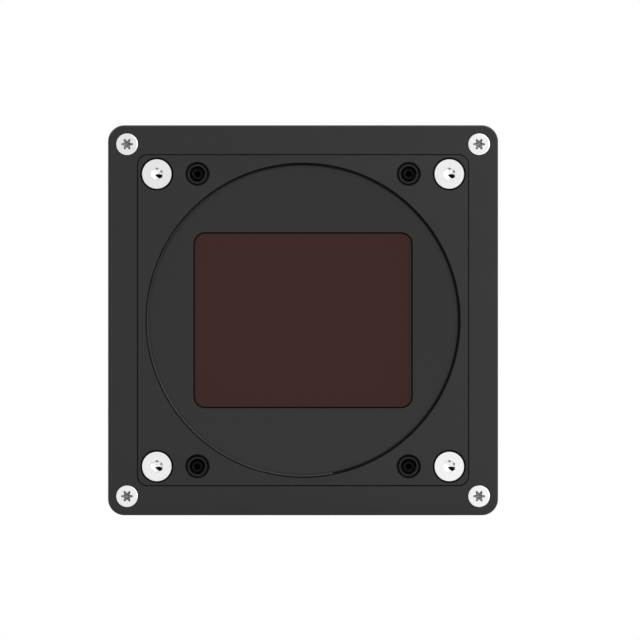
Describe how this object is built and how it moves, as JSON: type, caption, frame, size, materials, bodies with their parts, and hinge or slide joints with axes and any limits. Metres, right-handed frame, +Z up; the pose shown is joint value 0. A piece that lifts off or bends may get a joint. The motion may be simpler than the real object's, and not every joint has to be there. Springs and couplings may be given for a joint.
{
  "type": "machine vision camera",
  "caption": "Square machine vision camera: threaded lens plate, glass sensor window, finned housing, boards inside, rear jacks and power socket.",
  "frame": {"origin": "centre of the lens flange, on the front face of the lens plate", "axes": "-Y points out of the lens opening along the optical axis, +Y to the rear cover, +Z up, +X to the right as the lens side is faced"},
  "size_m": [0.072, 0.0628, 0.072],
  "materials": {
    "black_anodised": "matt black anodised, fine bead-blasted",
    "cover_black": "matt black anodised",
    "bright_steel": "bright zinc plated",
    "filter_glass": "dark red-brown coated filter glass",
    "clear_glass": "polished",
    "soft_black": "foam rubber",
    "package_ceramic": "fired alumina",
    "silicon": "polished silicon",
    "board_green": "solder mask over glass laminate",
    "chip_black": "moulded epoxy",
    "link_black": "moulded",
    "thermal_grey": "soft silicone pad",
    "bare_aluminium": "milled",
    "standoff_brass": "nickel plated",
    "gold_contact": "gold plated",
    "nickel_shell": "nickel plated",
    "white_insulator": "turned fluoropolymer",
    "black_insulator": "moulded",
    "light_rod": "clear moulded"
  },
  "bodies": {
    "root": {"board_screws": "bright_steel", "data_jack_insulator_1": "white_insulator", "data_jack_insulator_2": "white_insulator", "data_jack_insulator_3": "white_insulator", "data_jack_insulator_4": "white_insulator", "data_jack_pin_1": "gold_contact", "data_jack_pin_2": "gold_contact", "data_jack_pin_3": "gold_contact", "data_jack_pin_4": "gold_contact", "data_jack_shell_1": "nickel_shell", "data_jack_shell_2": "nickel_shell", "data_jack_shell_3": "nickel_shell", "data_jack_shell_4": "nickel_shell", "front_frame": "black_anodised", "front_screws": "bright_steel", "heat_spreader": "bare_aluminium", "housing": "black_anodised", "interface_board": "board_green", "interface_link_header": "link_black", "interface_link_socket": "link_black", "lens_mount_plate": "black_anodised", "memory_chip_1": "chip_black", "memory_chip_2": "chip_black", "mount_screws": "bright_steel", "power_board": "board_green", "power_capacitor_1": "bare_aluminium", "power_capacitor_2": "bare_aluminium", "power_inductor": "chip_black", "power_link_header": "link_black", "power_link_socket": "link_black", "power_socket_insert": "black_insulator", "power_socket_nut": "nickel_shell", "power_socket_pins": "gold_contact", "power_socket_shell": "nickel_shell", "processor_board": "board_green", "processor_chip": "chip_black", "processor_thermal_pad": "thermal_grey", "rear_cover": "cover_black", "rear_screws": "bright_steel", "sensor_board": "board_green", "sensor_board_screws": "bright_steel", "sensor_cover_glass": "clear_glass", "sensor_die": "silicon", "sensor_link_lower_header": "link_black", "sensor_link_lower_socket": "link_black", "sensor_link_upper_header": "link_black", "sensor_link_upper_socket": "link_black", "sensor_package": "package_ceramic", "sensor_thermal_pad": "thermal_grey", "spreader_screws": "bright_steel", "standoffs_front": "standoff_brass", "standoffs_middle": "standoff_brass", "standoffs_rear": "standoff_brass", "status_lamp": "light_rod", "status_light": "light_rod", "window_gasket": "soft_black", "window_glass": "filter_glass"}
  },
  "joints": []
}
